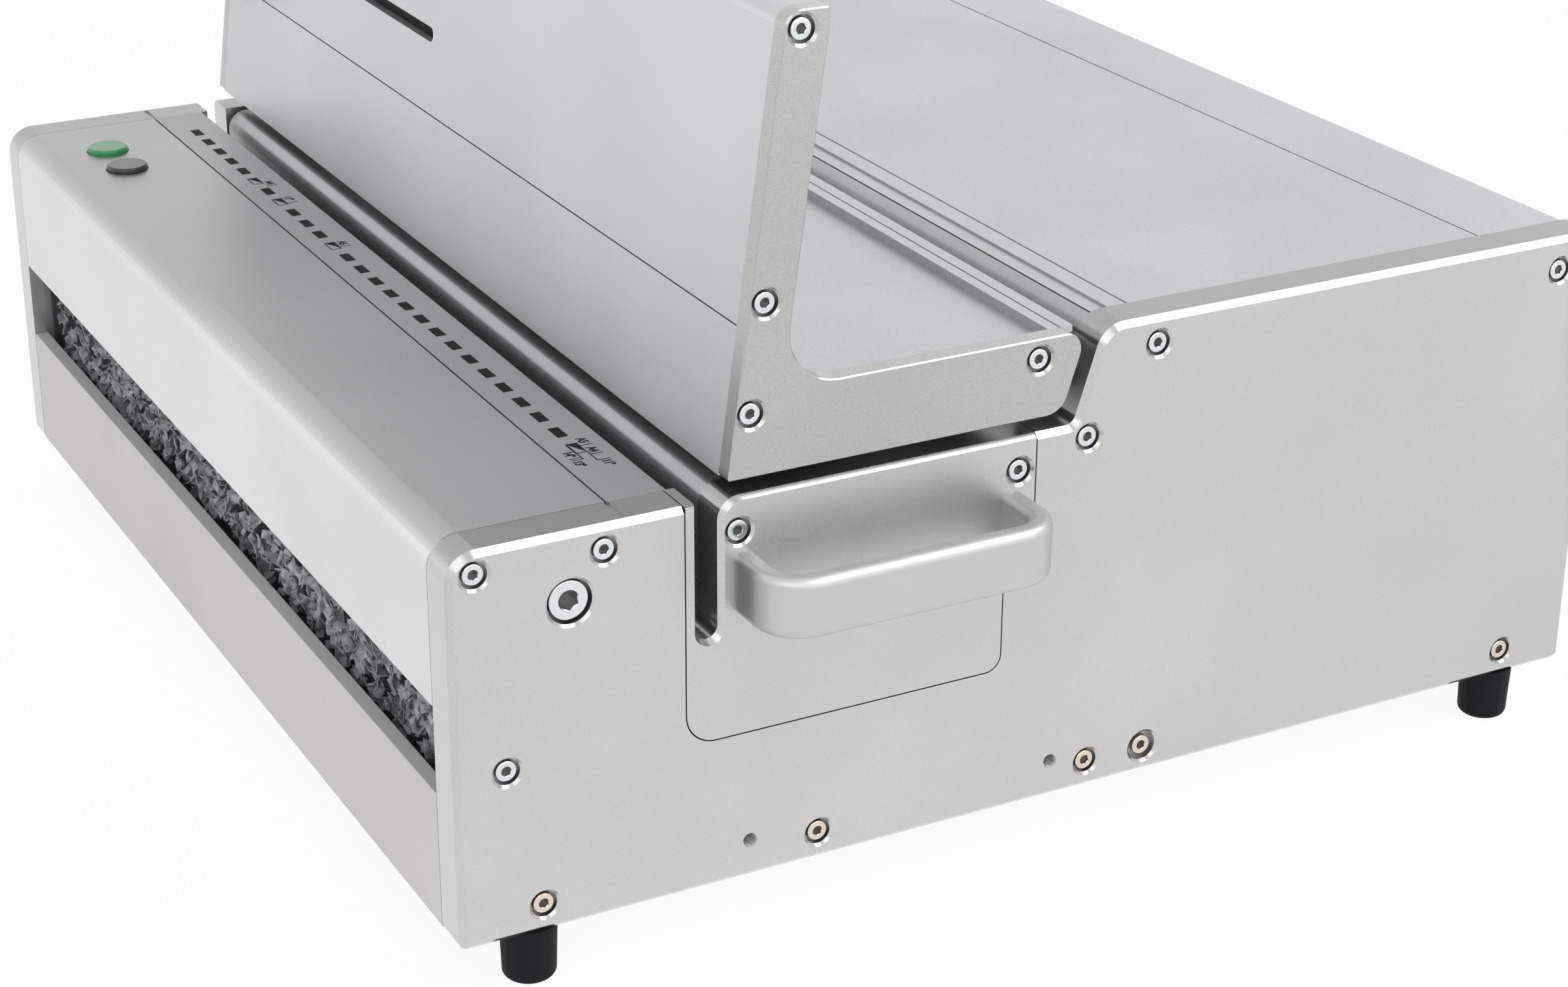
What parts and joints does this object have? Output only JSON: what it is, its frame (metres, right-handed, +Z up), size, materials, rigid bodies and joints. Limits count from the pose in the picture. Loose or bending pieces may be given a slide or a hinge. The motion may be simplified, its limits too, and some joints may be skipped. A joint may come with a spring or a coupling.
{
  "type": "electric hole punch",
  "caption": "Bench-top electric punch with a sliding die cassette, a folding paper support, a windowed chip drawer and a motor-driven ram.",
  "frame": {"origin": "bottom centre of the bounding box, on the plane of the feet", "axes": "+X along the machine towards the end with the die handle, +Y from front to back, +Z up"},
  "size_m": [0.4998, 0.4322, 0.2998],
  "materials": {
    "anodised_aluminium": "satin anodised finish with a fine blasted grain",
    "white_face": "smooth pale satin anodised face",
    "grey_sheet": "satin anodised sheet",
    "dark_band": "darker satin anodised section",
    "machined_steel": "ground and brushed",
    "die_steel": "brushed dark tool steel",
    "cap_screw": "plain steel with light oil",
    "clear_pane": "clear polished acrylic pane",
    "bin_plastic": "moulded dark plastic",
    "chips": "loose punched paper chips in shade",
    "foot_rubber": "moulded black rubber",
    "strip": "satin anodised strip with punch marks",
    "button_green": "glossy green cap",
    "button_black": "glossy black cap",
    "black_plastic": "moulded black plastic",
    "gear_steel": "hobbed steel",
    "motor_paint": "dark paint on a finned body",
    "cast_housing": "painted casting",
    "board_green": "solder mask",
    "core_steel": "laminated core with taped coil"
  },
  "bodies": {
    "machine": {"right_end_plate": "anodised_aluminium", "left_end_plate": "anodised_aluminium", "end_plate_screws": "cap_screw", "tie_bar_bolts": "cap_screw", "bottom_plate": "grey_sheet", "front_tie_bar": "machined_steel", "cassette_bed": "machined_steel", "drawer_rails": "machined_steel", "chip_guide_wall": "grey_sheet", "rubber_feet": "foot_rubber", "foot_screws": "cap_screw", "front_cover": "white_face", "scale_strip": "strip", "button_housing": "black_plastic", "rear_fairing": "dark_band", "rear_cover": "grey_sheet", "rear_hood": "grey_sheet", "ram_guides": "machined_steel", "shaft_bearings": "gear_steel", "bearing_blocks": "machined_steel", "gearbox": "cast_housing", "motor": "motor_paint", "gearbox_mount": "cast_housing", "control_board": "board_green", "transformer": "core_steel", "power_inlet": "black_plastic", "foot_switch_socket": "black_plastic", "switch_housing": "black_plastic", "hinge_brackets": "machined_steel", "hinge_pins": "gear_steel"},
    "drawer": {"drawer_front": "white_face", "drawer_window": "clear_pane", "drawer_bin": "bin_plastic", "paper_chips": "chips"},
    "cassette": {"die_end_plate": "anodised_aluminium", "die_handle": "anodised_aluminium", "cassette_screws": "cap_screw", "female_die": "die_steel", "die_base_bar": "die_steel", "pin_guide_bar": "die_steel", "cassette_cover": "die_steel", "cassette_far_plate": "die_steel"},
    "pin_carrier": {"pin_bar": "machined_steel", "punch_pins": "gear_steel"},
    "ram_slide": {"ram": "machined_steel", "ram_yokes": "machined_steel"},
    "shaft": {"eccentric_shaft": "gear_steel", "drive_gear": "gear_steel"},
    "drive_pinion": {"pinion": "gear_steel"},
    "start_key": {"start_button": "button_green"},
    "reverse_key": {"reverse_button": "button_black"},
    "rocker": {"switch_rocker": "black_plastic"},
    "support": {"support_ends": "anodised_aluminium", "support_face_lower": "grey_sheet", "support_face_upper": "grey_sheet", "support_shelf": "grey_sheet", "support_rear_rail": "grey_sheet", "support_screws": "cap_screw"},
    "paper_guide": {"side_guide": "black_plastic"}
  },
  "joints": [
    {"name": "support_fold", "type": "hinge", "parent": "machine", "child": "support", "pos_m": [0, -0.0039, 0.1775], "axis": [-1, 0, 0], "range_deg": [0, 110]},
    {"name": "guide_slide", "type": "slide", "parent": "support", "child": "paper_guide", "axis": [1, 0, 0], "range_m": [0, 0.19]},
    {"name": "drawer_slide", "type": "slide", "parent": "machine", "child": "drawer", "axis": [0, -1, 0], "range_m": [0, 0.055]},
    {"name": "cassette_slide", "type": "slide", "parent": "machine", "child": "cassette", "axis": [1, 0, 0], "range_m": [0, 0.42]},
    {"name": "shaft_turn", "type": "hinge", "parent": "machine", "child": "shaft", "pos_m": [0, 0.0199, 0.1015], "axis": [1, 0, 0], "range_deg": [-2, 182]},
    {"name": "ram_stroke", "type": "slide", "parent": "machine", "child": "ram_slide", "axis": [0, -1, 0], "range_m": [0, 0.013]},
    {"name": "pin_stroke", "type": "slide", "parent": "cassette", "child": "pin_carrier", "axis": [0, -1, 0], "range_m": [-0.0002, 0.0132]},
    {"name": "pinion_turn", "type": "hinge", "parent": "machine", "child": "drive_pinion", "pos_m": [0, 0.0679, 0.1015], "axis": [1, 0, 0], "range_deg": [-546, 6]},
    {"name": "start_press", "type": "slide", "parent": "machine", "child": "start_key", "axis": [0, 0, -1], "range_m": [0, 0.0018], "stiffness_N_per_m": 800, "springref_m": -0.0005},
    {"name": "reverse_press", "type": "slide", "parent": "machine", "child": "reverse_key", "axis": [0, 0, -1], "range_m": [0, 0.0018], "stiffness_N_per_m": 800, "springref_m": -0.0005},
    {"name": "switch_tilt", "type": "hinge", "parent": "machine", "child": "rocker", "pos_m": [-0.12285, 0.2129, 0.0655], "axis": [0, 0, 1], "range_deg": [-8, 8]}
  ],
  "couplings": [
    {"joint": "shaft_turn", "follows": "ram_stroke", "rad_per_m": 241.66},
    {"joint": "pin_stroke", "follows": "ram_stroke", "ratio": 1},
    {"joint": "pinion_turn", "follows": "ram_stroke", "rad_per_m": -724.98}
  ]
}
